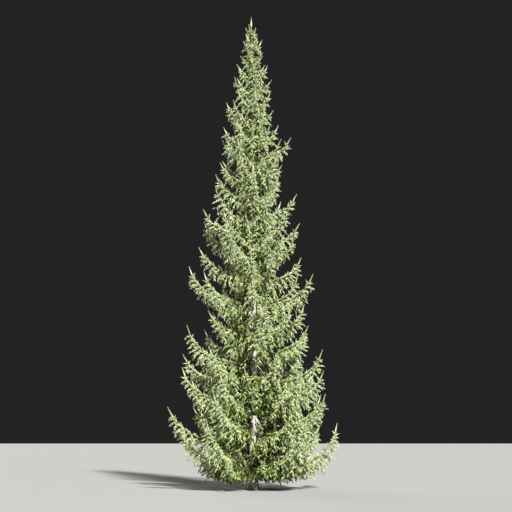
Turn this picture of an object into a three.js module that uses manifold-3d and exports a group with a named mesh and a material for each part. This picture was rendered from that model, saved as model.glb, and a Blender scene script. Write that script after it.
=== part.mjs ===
// A Norway spruce of about thirteen and a half metres, rooted in level ground.
// The trunk runs whole from a flat cut at the ground to the leader. Boughs stand round it in whorls.
// The lowest whorls have bare boughs that end where a mass of foliage begins, and higher up each mass
// grows straight from the trunk. A mass is one stem with side twigs and toothed blades of needles.
// Millimetres, +Z up, with the origin at the centre of the cut. The photograph looks along +Y.
import * as THREE from "three";
import { mergeVertices } from "three/addons/utils/BufferGeometryUtils.js";
import Module from "manifold-3d";

const wasm = await Module();
wasm.setup();

// The whole tree
const TREE_HEIGHT = 13500;
const CROWN_REACH = 2450; // trunk axis to the tips of the lowest whorl
const CROWN_POWER = 0.87; // reach against distance from the top, where 1 is a plain cone
const SEED = 105;

// The trunk: a straight taper, a flare with root lobes, a slight lean and bow
const TRUNK_RADIUS = 112;
const TRUNK_TOP = 12420;
const TRUNK_TIP_RADIUS = 11;
const TRUNK_SIDES = 14;
const FLARE = 66;
const FLARE_HEIGHT = 240;
const FLARE_RINGS = 6;
const TAPER_RINGS = 12;
const ROOT_LOBES = 5;
const LOBE_SHARE = 0.16; // of the radius at the ground
const LEAN = -60; // sideways shift of the tip
const BOW = 28; // sideways bow at half height

// The whorls, from the lowest up
const WHORLS = 22;
const FIRST_WHORL = 950;
const LAST_WHORL = 12900;
const WHORL_GROWTH = 1.03; // each spacing against the next one up
const LEADER_WHORLS = 2; // the highest whorls stand on the leader
const BOUGHED_WHORLS = 3; // the lowest whorls have bare boughs
const BOUGHS_LOW = 4; // main boughs in a low whorl
const BOUGHS_HIGH = 2;
const WHORL_SLOTS = 8; // numbers set aside for the boughs of one whorl
const FIRST_AZIMUTH = 18;
const SPIRAL_LOW = 48; // turn from one whorl to the next
const SPIRAL_HIGH = 51;

// The line of a bough: out from the trunk, then up towards its tip
const START_SLOPE_LOW = -14;
const START_SLOPE_RISE = 54; // added by the square of the relative height
const TIP_SLOPE = 64;
const TIP_SLOPE_JITTER = 8;
const TURN_POWER = 1.4;
const CANDLE_TURN = 16; // added near the tip, where the upright candle stands
const CANDLE_TURN_POWER = 6;
const AXIS_STEPS = 24;
const AZIMUTH_JITTER = 18;
const REACH_JITTER = 0.1;
const HEIGHT_JITTER = 0.2; // of the whorl's spacing
const SWEEP_JITTER = 8; // sideways turn along a bough

// Main boughs of this tree that stand higher or lower, or reach further or less far, than the rule gives
const OWN_LIFT = { 0: -160, 2: 430, 32: -250, 57: -360, 80: -300 };
const OWN_VIGOUR = { 0: 0.98, 2: 1.02, 9: 0.75, 11: 0.93, 112: 0.82 }; // times the rule's reach

// Limb and twig thickness
const BOUGH_RADIUS_SHARE = 0.0105; // of the bough's length
const TWIG_TIP_RADIUS = 4;
const BOUGH_SIDES = 6;
const BOUGH_SEGMENTS = 4;
const TWIG_SIDES = 3;
const STEM_SEGMENTS = 5;

// Side twigs: they leave their bough to both sides and bend down to hang
const BARE_SHARE_LOW = 0.34; // where a low bough ends and its mass begins
const FIRST_TWIG_LOW = 0.3;
const FIRST_TWIG_HIGH = 0.14;
const LAST_TWIG = 0.93;
const TWIG_SHARE_LOW = 0.42; // longest side twig against its bough
const TWIG_SHARE_HIGH = 0.8;
const TWIG_POWER = 0.6;
const TWIG_ANGLE_INNER = 64; // away from the bough, in plan
const TWIG_ANGLE_OUTER = 38;
const START_PITCH = -10;
const PITCH_SHARE = 0.55; // of the bough's own slope, added to the start
const HANG_INNER = 90; // how far a side twig bends down over its length
const HANG_OUTER = 38;
const HANG_POWER = 0.7;
const STEEPEST = -80;
const TWIG_STEPS = 6;
const TWIG_PAIRS_LOW = 6;
const TWIG_PAIRS_MIDDLE = 5;
const TWIG_PAIRS_HIGH = 4;
const FORKED_PAIRS = 1; // inner pairs of a low bough whose twigs carry two blades
const MIDDLE_WHORLS = 12; // whorls up to this one carry the middle number of pairs

// Blades of needles: each length is a share of its side twig's length
const TWIG_BARE = 0.34;
const END_BLADE = 0.8;
const END_BLADE_AT = 0.2;
const SIDE_BLADE = 0.66;
const SIDE_BLADE_AT = 0.12;
const SIDE_BLADE_TURN = 46;
const CANDLE_SHARE = 0.15; // upright tip blade against its bough
const CANDLE_SHORTEST = 200;
const CANDLE_WIDTH = 0.8;
const BLADE_THICKNESS = 0.07; // of its length
const BLADE_SAG = 0.1;
const BLADE_ROLL_INNER = 10; // turn of a blade about its own length
const BLADE_ROLL_OUTER = 75;
const BLADE_ROLL_JITTER = 20;

// Half of a blade's outline, tip to root, with length 1: tip, notch, tooth, notch, tooth, root
const BLADE_HALF = [
  [1, 0],
  [0.71, 0.055],
  [0.8, 0.16],
  [0.4, 0.09],
  [0.46, 0.23],
  [0, 0],
];
const BLADE_CENTRE = 0.2;

// The leader's shoots
const LEADER_SHOOTS = 4;
const LEADER_SLOPE = 58;
const LEADER_WIDTH = 0.7;
const TOP_SHOOT = 380;

// Clearances
const GAP = 0.3; // between a limb and what stands on it
const ROOM = 3; // kept free between two masses
const GROUND_ROOM = 160; // lowest foliage above the ground
const TWIG_GROUND_ROOM = 290; // end of a side twig above the ground
const SHORTEST_TWIG = 0.2; // of its full length
const SMALLEST_EDGE = 0.5; // shorter edges are closed up where pieces are fused

const BARK = new THREE.MeshStandardMaterial({ color: 0xa99c8e, roughness: 0.9, metalness: 0 });
const LIMB_BARK = new THREE.MeshStandardMaterial({ color: 0x9a8b78, roughness: 0.9, metalness: 0 });
const NEEDLES = new THREE.MeshStandardMaterial({ color: 0x8e9a6a, roughness: 0.65, metalness: 0 });

const radians = THREE.MathUtils.degToRad;
const mix = THREE.MathUtils.lerp;

// A repeatable draw from 0 to 1 for one use of one bough.
function draw(bough, use) {
  const wave = Math.sin(bough * 12.9898 + use * 78.233 + SEED) * 43758.5453;
  return wave - Math.floor(wave);
}

// The same, from -1 to 1.
function jitter(bough, use) {
  return 2 * draw(bough, use) - 1;
}

// A unit vector from a heading in plan and a pitch above the horizon.
function aim(heading, pitch) {
  const flat = Math.cos(pitch);
  return new THREE.Vector3(flat * Math.cos(heading), flat * Math.sin(heading), Math.sin(pitch));
}

// Solids

// A three.js geometry as a solid, with its shared corners merged.
function solidOf(geometry) {
  const bare = geometry.clone();
  bare.deleteAttribute("normal");
  bare.deleteAttribute("uv");
  const merged = mergeVertices(bare, 1e-3);
  return new wasm.Manifold(
    new wasm.Mesh({
      numProp: 3,
      vertProperties: new Float32Array(merged.attributes.position.array),
      triVerts: new Uint32Array(merged.index.array),
    }),
  );
}

// The largest body of a solid as a named mesh. Loose scraps are dropped.
function meshOf(name, solid, material) {
  const bodies = solid.decompose();
  const body = bodies.reduce((a, b) => (b.volume() > a.volume() ? b : a));
  const { vertProperties, triVerts, numProp, numVert } = body.getMesh();
  const points = new Float32Array(numVert * 3);
  for (let i = 0; i < numVert; i++) {
    points.set(vertProperties.subarray(i * numProp, i * numProp + 3), i * 3);
  }
  const geometry = new THREE.BufferGeometry();
  geometry.setAttribute("position", new THREE.BufferAttribute(points, 3));
  geometry.setIndex(new THREE.BufferAttribute(triVerts, 1));
  geometry.computeVertexNormals();
  const mesh = new THREE.Mesh(geometry, material);
  mesh.name = name;
  return mesh;
}

// Moves every vertex of a geometry by a function.
function reshape(geometry, move) {
  const position = geometry.attributes.position;
  const point = new THREE.Vector3();
  for (let i = 0; i < position.count; i++) {
    point.fromBufferAttribute(position, i);
    move(point, i);
    position.setXYZ(i, point.x, point.y, point.z);
  }
  return geometry;
}

function boxesNear(a, b, room) {
  const first = a.boundingBox();
  const second = b.boundingBox();
  return [0, 1, 2].every(
    (axis) => first.min[axis] - room < second.max[axis] && second.min[axis] - room < first.max[axis],
  );
}

function touches(solid, others) {
  return others.some((other) => boxesNear(solid, other, ROOM) && solid.minGap(other, ROOM) < ROOM);
}

// The trunk

function trunkRadius(height) {
  const taper = mix(TRUNK_RADIUS, TRUNK_TIP_RADIUS, height / TRUNK_TOP);
  return taper + FLARE * Math.exp(-height / FLARE_HEIGHT);
}

function trunkAxis(height) {
  const share = height / TREE_HEIGHT;
  return new THREE.Vector3(LEAN * share * share + BOW * Math.sin(Math.PI * share), 0, height);
}

// A lathe round the trunk's axis, swelled by `extra` and drawn out into root lobes at the foot.
function trunkSolid(extra) {
  const heights = [];
  for (let i = 0; i < FLARE_RINGS; i++) heights.push((3 * FLARE_HEIGHT * i * i) / FLARE_RINGS ** 2);
  for (let i = 0; i <= TAPER_RINGS; i++) heights.push(mix(3 * FLARE_HEIGHT, TRUNK_TOP, i / TAPER_RINGS));
  const foot = -extra;
  const top = TRUNK_TOP + extra;
  const profile = [new THREE.Vector2(0, foot)];
  heights.forEach((height, i) => {
    const end = i === 0 ? foot : i === heights.length - 1 ? top : height;
    profile.push(new THREE.Vector2(trunkRadius(height) + extra, end));
  });
  profile.push(new THREE.Vector2(0, top));
  const lathe = new THREE.LatheGeometry(profile, TRUNK_SIDES).rotateX(Math.PI / 2);
  reshape(lathe, (point) => {
    const angle = Math.atan2(point.y, point.x);
    const lobe = LOBE_SHARE * Math.exp(-Math.max(point.z, 0) / FLARE_HEIGHT) * Math.cos(ROOT_LOBES * angle);
    const centre = trunkAxis(point.z);
    point.set(point.x * (1 + lobe) + centre.x, point.y * (1 + lobe) + centre.y, point.z);
  });
  return solidOf(lathe);
}

// Boughs

function whorlHeight(whorl) {
  const share = (1 - WHORL_GROWTH ** -whorl) / (1 - WHORL_GROWTH ** -(WHORLS - 1));
  return mix(FIRST_WHORL, LAST_WHORL, share);
}

function crownReach(height) {
  return CROWN_REACH * ((TREE_HEIGHT - height) / (TREE_HEIGHT - FIRST_WHORL)) ** CROWN_POWER;
}

// The line of one bough, as a curve from the trunk's axis to its tip.
function boughLine(number, whorl, azimuth) {
  const spacing = whorlHeight(whorl + 1) - whorlHeight(whorl);
  const lift = OWN_LIFT[number] ?? 0;
  const height = whorlHeight(whorl) + HEIGHT_JITTER * spacing * jitter(number, 1) + lift;
  const relative = height / TREE_HEIGHT;
  const startSlope = START_SLOPE_LOW + START_SLOPE_RISE * relative * relative;
  const tipSlope = TIP_SLOPE + TIP_SLOPE_JITTER * jitter(number, 5);
  const heading = radians(azimuth + AZIMUTH_JITTER * jitter(number, 2));
  const sweep = radians(SWEEP_JITTER * jitter(number, 3));
  const vigour = OWN_VIGOUR[number] ?? 1;
  const reach = crownReach(height) * (1 + REACH_JITTER * jitter(number, 4)) * vigour;
  const steps = [];
  let out = 0;
  for (let i = 0; i < AXIS_STEPS; i++) {
    const share = (i + 0.5) / AXIS_STEPS;
    const slope = mix(startSlope, tipSlope, share ** TURN_POWER) + CANDLE_TURN * share ** CANDLE_TURN_POWER;
    const step = aim(heading + sweep * share, radians(slope));
    steps.push(step);
    out += Math.hypot(step.x, step.y) / AXIS_STEPS;
  }
  const length = reach / out;
  const points = [trunkAxis(height)];
  steps.forEach((step, i) => points.push(points[i].clone().addScaledVector(step, length / AXIS_STEPS)));
  const radius = BOUGH_RADIUS_SHARE * length + TWIG_TIP_RADIUS;
  return { number, curve: new THREE.CatmullRomCurve3(points), length, relative, radius };
}

function boughRadius(bough, share) {
  return mix(bough.radius, TWIG_TIP_RADIUS, share);
}

// A tapering limb along a curve from one share of its length to another. An end radius of 0 is a point.
function limb(curve, from, to, startRadius, endRadius, sides, segments) {
  const rod = new THREE.CylinderGeometry(endRadius, startRadius, 1, sides, segments);
  reshape(rod, (point) => {
    const share = mix(from, to, point.y + 0.5);
    const along = curve.getTangentAt(share);
    const across = new THREE.Vector3(-along.y, along.x, 0).normalize();
    const over = along.clone().cross(across);
    const { x, z } = point;
    point.copy(curve.getPointAt(share)).addScaledVector(across, x).addScaledVector(over, -z);
  });
  return solidOf(rod);
}

// Foliage

// A toothed blade of needles: a flat bipyramid whose rim is the outline, thickest near its root.
function blade(root, heading, pitch, roll, length, width = 1) {
  const rim = [...BLADE_HALF, ...BLADE_HALF.slice(1, -1).reverse().map(([x, y]) => [x, -y])];
  const columns = rim.length;
  const geometry = new THREE.SphereGeometry(1, columns, 2);
  const along = aim(heading, pitch);
  const across = new THREE.Vector3(-Math.sin(heading), Math.cos(heading), 0).applyAxisAngle(along, roll);
  const over = along.clone().cross(across);
  reshape(geometry, (point, i) => {
    const row = Math.floor(i / (columns + 1));
    const [x, y] = row === 1 ? rim[(i % (columns + 1)) % columns] : [BLADE_CENTRE, 0];
    const lift = ((1 - row) * BLADE_THICKNESS) / 2 - BLADE_SAG * x * x;
    point.copy(root);
    point.addScaledVector(along, x * length);
    point.addScaledVector(across, y * length * width);
    point.addScaledVector(over, lift * length);
  });
  return solidOf(geometry);
}

// The line of a side twig, with the direction it takes over any stretch.
// A twig that would hang down to the ground is made shorter.
function sideTwigLine(bough, share, side) {
  const along = bough.curve.getTangentAt(share);
  const inner = 1 - share;
  const twigShare = mix(TWIG_SHARE_LOW, TWIG_SHARE_HIGH, bough.relative);
  const fullLength = twigShare * bough.length * inner ** TWIG_POWER;
  const turn = radians(mix(TWIG_ANGLE_OUTER, TWIG_ANGLE_INNER, inner));
  const heading = Math.atan2(along.y, along.x) + side * turn;
  const start = radians(START_PITCH) + PITCH_SHARE * Math.asin(along.z);
  const end = Math.max(start - radians(mix(HANG_OUTER, HANG_INNER, inner)), radians(STEEPEST));
  const root = bough.curve.getPointAt(share);
  const run = [new THREE.Vector3()];
  for (let i = 0; i < TWIG_STEPS; i++) {
    const pitch = mix(start, end, ((i + 0.5) / TWIG_STEPS) ** HANG_POWER);
    run.push(run[i].clone().addScaledVector(aim(heading, pitch), fullLength / TWIG_STEPS));
  }
  const drop = Math.max(-run[TWIG_STEPS].z, 1);
  const fit = THREE.MathUtils.clamp((root.z - TWIG_GROUND_ROOM) / drop, SHORTEST_TWIG, 1);
  const points = run.map((step) => step.multiplyScalar(fit).add(root));
  const length = fit * fullLength;
  const curve = new THREE.CatmullRomCurve3(points);
  const pitchOver = (from, to) => {
    const chord = curve.getPointAt(to).sub(curve.getPointAt(from));
    return Math.asin(chord.z / chord.length());
  };
  return { curve, length, heading, pitchOver };
}

// A side twig's pieces: its bare part, the blade at its end and another near its root.
// On a slight bough the whole twig is one blade.
function sideTwig(bough, share, side, slight) {
  const { curve, length, heading, pitchOver } = sideTwigLine(bough, share, side);
  const wobble = BLADE_ROLL_JITTER * jitter(bough.number, 20 + side * (1 + 10 * share));
  const roll = radians(side * mix(BLADE_ROLL_INNER, BLADE_ROLL_OUTER, share) + wobble);
  if (slight) return [blade(curve.getPointAt(0), heading, pitchOver(0, 1), roll, length)];
  const radius = 0.5 * boughRadius(bough, share) + TWIG_TIP_RADIUS;
  const turned = heading - side * radians(SIDE_BLADE_TURN);
  return [
    limb(curve, 0, TWIG_BARE, radius, 0, TWIG_SIDES, 1),
    blade(curve.getPointAt(END_BLADE_AT), heading, pitchOver(END_BLADE_AT, 1), roll, END_BLADE * length),
    blade(curve.getPointAt(SIDE_BLADE_AT), turned, pitchOver(0.3, 1), -roll, SIDE_BLADE * length),
  ];
}

// A mass: its stem from one share of the bough to the tip, side twigs in pairs and an upright tip.
// A twig or blade that would reach the ground or touch what already stands is left out.
function mass(bough, from, pairs, standing) {
  const { curve, length } = bough;
  const slight = from === 0;
  const start = slight ? 0 : from + GAP / length;
  const tip = curve.getTangentAt(1);
  const candle = Math.max(CANDLE_SHARE * length, CANDLE_SHORTEST);
  const foot = curve.getPointAt(1 - (0.8 * candle) / length);
  const pieces = [
    limb(curve, start, 1 - (0.6 * candle) / length, boughRadius(bough, start), 0, TWIG_SIDES, STEM_SEGMENTS),
    blade(foot, Math.atan2(tip.y, tip.x), Math.asin(tip.z), radians(90), candle, CANDLE_WIDTH),
  ];
  const clear = (solid) => solid.boundingBox().min[2] > GROUND_ROOM && !touches(solid, standing);
  const first = mix(FIRST_TWIG_LOW, FIRST_TWIG_HIGH, bough.relative);
  for (let pair = 0; pair < pairs; pair++) {
    for (const side of [-1, 1]) {
      const share = mix(Math.max(first, from + 0.04), LAST_TWIG, (pair + 0.5 + 0.25 * side) / pairs);
      const [root, ...blades] = sideTwig(bough, share, side, slight || pair >= FORKED_PAIRS);
      if (clear(root)) pieces.push(root, ...blades.filter(clear));
    }
  }
  return wasm.Manifold.union(pieces).simplify(SMALLEST_EDGE);
}

// The leader: the last stretch of the trunk, with two small whorls of steep shoots and an upright top.
function leader() {
  const heights = [TRUNK_TOP + GAP, mix(TRUNK_TOP, TREE_HEIGHT, 0.5), TREE_HEIGHT];
  const line = new THREE.CatmullRomCurve3(heights.map(trunkAxis));
  const pieces = [limb(line, 0, 0.8, TRUNK_TIP_RADIUS, 0, BOUGH_SIDES, 3)];
  const top = trunkAxis(TREE_HEIGHT - TOP_SHOOT);
  pieces.push(blade(top, radians(90), radians(90), 0, TOP_SHOOT, LEADER_WIDTH));
  for (let whorl = WHORLS - LEADER_WHORLS; whorl < WHORLS; whorl++) {
    const height = Math.max(whorlHeight(whorl), TRUNK_TOP + 80);
    const slope = radians(LEADER_SLOPE);
    const length = crownReach(height) / Math.cos(slope);
    for (let i = 0; i < LEADER_SHOOTS; i++) {
      const heading = radians((360 * (i + 0.5 * (whorl % 2))) / LEADER_SHOOTS);
      pieces.push(blade(trunkAxis(height), heading, slope, 0, length, LEADER_WIDTH));
    }
  }
  return wasm.Manifold.union(pieces).simplify(SMALLEST_EDGE);
}

// The tree, grown from the lowest whorl up

const tree = new THREE.Group();
const trunk = trunkSolid(0);
const trunkRoom = trunkSolid(GAP);
tree.add(meshOf("trunk", trunk, BARK));

const standing = [trunk];
for (let whorl = 0; whorl < WHORLS - LEADER_WHORLS; whorl++) {
  const low = whorl < BOUGHED_WHORLS;
  const count = low ? BOUGHS_LOW : BOUGHS_HIGH;
  const lowTurns = Math.min(whorl, BOUGHED_WHORLS - 1);
  const turned = FIRST_AZIMUTH + SPIRAL_LOW * lowTurns + SPIRAL_HIGH * (whorl - lowTurns);
  const boughs = [];
  for (let i = 0; i < count; i++) {
    boughs.push(boughLine(whorl * WHORL_SLOTS + i, whorl, turned + (360 * i) / count));
  }
  const label = (i) => `${String(whorl + 1).padStart(2, "0")}_${i + 1}`;
  const from = low ? BARE_SHARE_LOW : 0;
  if (low) {
    boughs.forEach((bough, i) => {
      const thin = boughRadius(bough, from);
      const whole = limb(bough.curve, 0, from, bough.radius, thin, BOUGH_SIDES, BOUGH_SEGMENTS);
      const solid = whole.subtract(trunkRoom);
      standing.push(solid);
      tree.add(meshOf(`bough_${label(i)}`, solid, LIMB_BARK));
    });
  }
  const pairs = low ? TWIG_PAIRS_LOW : whorl < MIDDLE_WHORLS ? TWIG_PAIRS_MIDDLE : TWIG_PAIRS_HIGH;
  boughs.forEach((bough, i) => {
    const solid = mass(bough, from, pairs, standing).subtract(trunkRoom);
    standing.push(solid);
    tree.add(meshOf(`foliage_${label(i)}`, solid, NEEDLES));
  });
}
tree.add(meshOf("leader", leader().subtract(trunkRoom), NEEDLES));

export default tree;
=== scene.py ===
# %% [markdown]
# # A Norway spruce, grown by rule
#
# A spruce is built like a mast. One straight trunk carries a whorl of boughs for every year or two of its
# life, and each bough runs out, dips, and turns up again into a small upright candle. Side twigs hang from
# the boughs like curtains, and short shoots clad in needles stand on the twigs.
#
# So many needles can't be placed by hand, and a scatter of leaves over a cone looks like a scatter. The tree
# is grown here by the rule that its solids follow: the same whorls, the same bough lines, then finer twigs.
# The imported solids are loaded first, and everything is measured against them.

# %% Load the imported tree
import math
from collections import namedtuple

import bmesh
import bpy
import numpy as np
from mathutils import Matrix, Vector, noise


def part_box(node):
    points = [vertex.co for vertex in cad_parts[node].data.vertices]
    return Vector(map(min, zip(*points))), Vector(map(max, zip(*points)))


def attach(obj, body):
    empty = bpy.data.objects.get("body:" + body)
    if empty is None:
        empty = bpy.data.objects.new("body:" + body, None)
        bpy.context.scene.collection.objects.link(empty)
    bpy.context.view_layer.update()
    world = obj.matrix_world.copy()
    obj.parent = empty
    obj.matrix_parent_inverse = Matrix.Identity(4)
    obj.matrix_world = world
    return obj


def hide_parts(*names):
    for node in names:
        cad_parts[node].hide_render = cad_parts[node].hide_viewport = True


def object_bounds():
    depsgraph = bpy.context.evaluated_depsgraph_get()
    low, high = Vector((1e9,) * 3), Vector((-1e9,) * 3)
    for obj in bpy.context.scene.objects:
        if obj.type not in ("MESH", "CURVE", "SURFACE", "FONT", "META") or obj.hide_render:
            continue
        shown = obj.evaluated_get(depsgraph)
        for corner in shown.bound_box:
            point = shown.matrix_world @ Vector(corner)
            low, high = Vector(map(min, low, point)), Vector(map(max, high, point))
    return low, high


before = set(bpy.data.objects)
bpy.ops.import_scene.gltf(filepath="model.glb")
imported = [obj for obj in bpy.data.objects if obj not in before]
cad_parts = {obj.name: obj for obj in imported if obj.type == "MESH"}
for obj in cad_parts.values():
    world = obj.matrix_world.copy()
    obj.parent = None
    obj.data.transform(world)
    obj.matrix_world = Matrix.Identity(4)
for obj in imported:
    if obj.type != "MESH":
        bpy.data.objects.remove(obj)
cad_low, cad_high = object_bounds()
trunk_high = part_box("trunk")[1]
print("solids:", len(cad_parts), "box:", [round(v, 3) for v in (*cad_low, *cad_high)])

# %% [markdown]
# ## The rule of growth
#
# Chance gives a tree its life, but the same tree has to grow on every run. A sine wave with a huge stretch
# gives a repeatable draw for any pair of numbers, so bough 17 always gets the same turn and the same reach.
# The twigs and needles draw from one seeded generator instead, because there are far too many to number.
# Blender's own noise would start from the clock, so it gets the seed as well.
# Headings are angles in plan and pitches are angles above the horizon. Two values in brackets are for the
# tree's foot and its top, for the two ends of a range, or for the bounds of a draw.

# %% Draws and directions
SEED = 105
NUMBER_STEP = 12.9898
USE_STEP = 78.233
WAVE_STRETCH = 43758.5453
HEIGHT_DRAW, TURN_DRAW, SWEEP_DRAW, REACH_DRAW, SLOPE_DRAW, VIGOUR_DRAW, ROOM_DRAW = range(1, 8)


def draw(number, use):
    """A repeatable draw from 0 to 1 for one use of one bough."""
    wave = math.sin(number * NUMBER_STEP + use * USE_STEP + SEED) * WAVE_STRETCH
    return wave - math.floor(wave)


def jitter(number, use):
    return 2 * draw(number, use) - 1


def mix(low, high, share):
    return low + (high - low) * share


def aim(heading, pitch):
    """Unit vectors from headings and pitches in radians."""
    flat = np.cos(pitch)
    return np.stack([flat * np.cos(heading), flat * np.sin(heading), np.sin(pitch) + 0 * heading], axis=-1)


def unit(vectors):
    return vectors / np.linalg.norm(vectors, axis=-1, keepdims=True)


rng = np.random.default_rng(SEED)
noise.seed_set(SEED)
print("draws of the first bough:", [round(draw(0, use), 3) for use in (HEIGHT_DRAW, TURN_DRAW, REACH_DRAW)])

# %% [markdown]
# ## The trunk's line
#
# The stem tapers straight from the ground to the leader and leans a little. Its foot flares out over the
# roots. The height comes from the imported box, so the tree can't drift away from its solids.

# %% Line and thickness of the trunk
TREE_HEIGHT = cad_high.z
TRUNK_TOP = trunk_high.z
TRUNK_RADIUS = 0.112
TRUNK_TIP_RADIUS = 0.011
FLARE = 0.066
FLARE_HEIGHT = 0.24
LEAN = -0.06
BOW = 0.028
BREAST_HEIGHT = 1.3


def trunk_radius(height):
    return mix(TRUNK_RADIUS, TRUNK_TIP_RADIUS, height / TRUNK_TOP) + FLARE * np.exp(-height / FLARE_HEIGHT)


def trunk_axis(height):
    share = np.asarray(height) / TREE_HEIGHT
    shift = LEAN * share**2 + BOW * np.sin(math.pi * share)
    return np.stack([shift, 0 * share, share * TREE_HEIGHT], axis=-1)


print("radius at breast height:", round(float(trunk_radius(BREAST_HEIGHT)), 4))

# %% [markdown]
# ## The line of a bough
#
# A bough leaves the trunk level or a little downwards, because snow and its own weight have pulled it down,
# and its young end has turned up to the light. So its slope goes from a start value to a steep tip value
# along its length, and the last stretch, the candle, turns up more sharply still. High in the crown the
# boughs are young and start steeper. Some boughs of this tree sit higher or lower than the rule puts them,
# and `OWN_LIFT` moves those, in metres. The line is kept as 25 points with equal steps.

# %% Whorls and bough lines
CROWN_REACH = 2.45
CROWN_POWER = 0.87
WHORLS = 22
FIRST_WHORL = 0.95
LAST_WHORL = 12.9
WHORL_GROWTH = 1.03
START_SLOPE_LOW = -14
START_SLOPE_RISE = 54
TIP_SLOPE = 64
TIP_SLOPE_JITTER = 8
TIP_SAG = 2
TURN_POWER = 1.4
CANDLE_TURN = 16
CANDLE_TURN_POWER = 6
AXIS_STEPS = 24
AZIMUTH_JITTER = 18
REACH_JITTER = 0.1
HEIGHT_JITTER = 0.2
SWEEP_JITTER = 8
BOUGH_RADIUS_SHARE = 0.0105
TWIG_TIP_RADIUS = 0.004
OWN_LIFT = {0: -0.16, 2: 0.43, 32: -0.25, 57: -0.36, 67: -0.35, 74: -0.2, 76: -0.15, 80: -0.3, 130: -0.24}

Bough = namedtuple("Bough", "number whorl line length relative radius curtain")


def whorl_height(whorl):
    share = (1 - WHORL_GROWTH**-whorl) / (1 - WHORL_GROWTH ** -(WHORLS - 1))
    return mix(FIRST_WHORL, LAST_WHORL, share)


def crown_reach(height):
    return CROWN_REACH * ((TREE_HEIGHT - height) / (TREE_HEIGHT - FIRST_WHORL)) ** CROWN_POWER


def grow_bough(number, whorl, azimuth, vigour=1.0, lift=0.0, sag=0.0, curtain=1.0):
    """One bough from the trunk's axis to its tip.

    `lift` raises it by a share of the whorl's spacing, `sag` lowers its slope, in degrees, and `curtain`
    makes the twigs that hang from it longer.
    """
    spacing = whorl_height(whorl + 1) - whorl_height(whorl)
    height = whorl_height(whorl) + spacing * (HEIGHT_JITTER * jitter(number, HEIGHT_DRAW) + lift)
    height += OWN_LIFT.get(number, 0)
    relative = height / TREE_HEIGHT
    shares = (np.arange(AXIS_STEPS) + 0.5) / AXIS_STEPS
    start_slope = START_SLOPE_LOW + START_SLOPE_RISE * relative**2 - sag
    tip_slope = TIP_SLOPE + TIP_SLOPE_JITTER * jitter(number, SLOPE_DRAW) - TIP_SAG * sag
    slope = mix(start_slope, tip_slope, shares**TURN_POWER) + CANDLE_TURN * shares**CANDLE_TURN_POWER
    slope = np.radians(slope)
    heading = azimuth + AZIMUTH_JITTER * jitter(number, TURN_DRAW)
    turn = np.radians(heading + SWEEP_JITTER * jitter(number, SWEEP_DRAW) * shares)
    reach = crown_reach(height) * (1 + REACH_JITTER * jitter(number, REACH_DRAW)) * vigour
    length = reach / np.cos(slope).mean()
    steps = aim(turn, slope) * length / AXIS_STEPS
    line = trunk_axis(height) + np.vstack([np.zeros(3), np.cumsum(steps, axis=0)])
    radius = BOUGH_RADIUS_SHARE * length + TWIG_TIP_RADIUS
    return Bough(number, whorl, line, length, relative, radius, curtain)


def point_at(line, shares):
    """Points on a line of equal steps, at shares of its length from 0 to 1."""
    places = np.clip(shares, 0, 1) * (len(line) - 1)
    low = np.minimum(places.astype(int), len(line) - 2)
    part = (places - low)[..., None]
    return line[low] * (1 - part) + line[low + 1] * part


def run_at(line, shares):
    """Directions of the line there."""
    places = np.clip(shares, 0, 1) * (len(line) - 1)
    low = np.minimum(places.astype(int), len(line) - 2)
    return unit(line[low + 1] - line[low])


print("whorls:", WHORLS, "heights:", [round(whorl_height(whorl), 2) for whorl in (0, 1, WHORLS - 1)])

# %% [markdown]
# ## Main, weaker and short boughs
#
# The solids hold the main boughs: four in each of the three lowest whorls and two in the others. A living
# whorl has five or six, so weaker boughs grow between the main ones here. A few boughs are stronger or weaker
# than the rule gives, as on this tree, and `OWN_VIGOUR` holds their share of the crown's reach. Short boughs
# stand on the trunk between two whorls and fill the crown's inside.

# %% Boughs of every whorl
LEADER_WHORLS = 2
BOUGHED_WHORLS = 3
MAIN_LOW = 4
MAIN_HIGH = 2
WHORL_SLOTS = 8
FIRST_AZIMUTH = 18
SPIRAL_LOW = 48
SPIRAL_HIGH = 51
MINOR_VIGOUR = 0.86
MINOR_TURNS_LOW = (45, 135, 225, 315)
MINOR_TURNS_HIGH = (60, 120, 240, 300)
OWN_VIGOUR = {
    0: 0.98, 2: 1.02, 9: 0.75, 11: 0.93, 13: 0.68, 44: 0.7, 45: 0.7, 67: 1.1, 74: 1.05, 82: 1.05,
    106: 1.15, 112: 0.82, 130: 1.05, 3000: 0.75, 3001: 0.8, 3007: 0.65, 3013: 0.82,
}
SHORT_NUMBERS = 1000
SHORT_SLOTS = 16
SHORT_BOUGHS = (8, 4)
SHORT_VIGOUR = 0.4
SHORT_WEAKEST = 0.75
SHORT_RANGE = 0.5
GOLDEN_ANGLE = 137.5
SHORT_LIFTS = (0.1, 0.9)
SHORT_CURTAIN = 1.5

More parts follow.
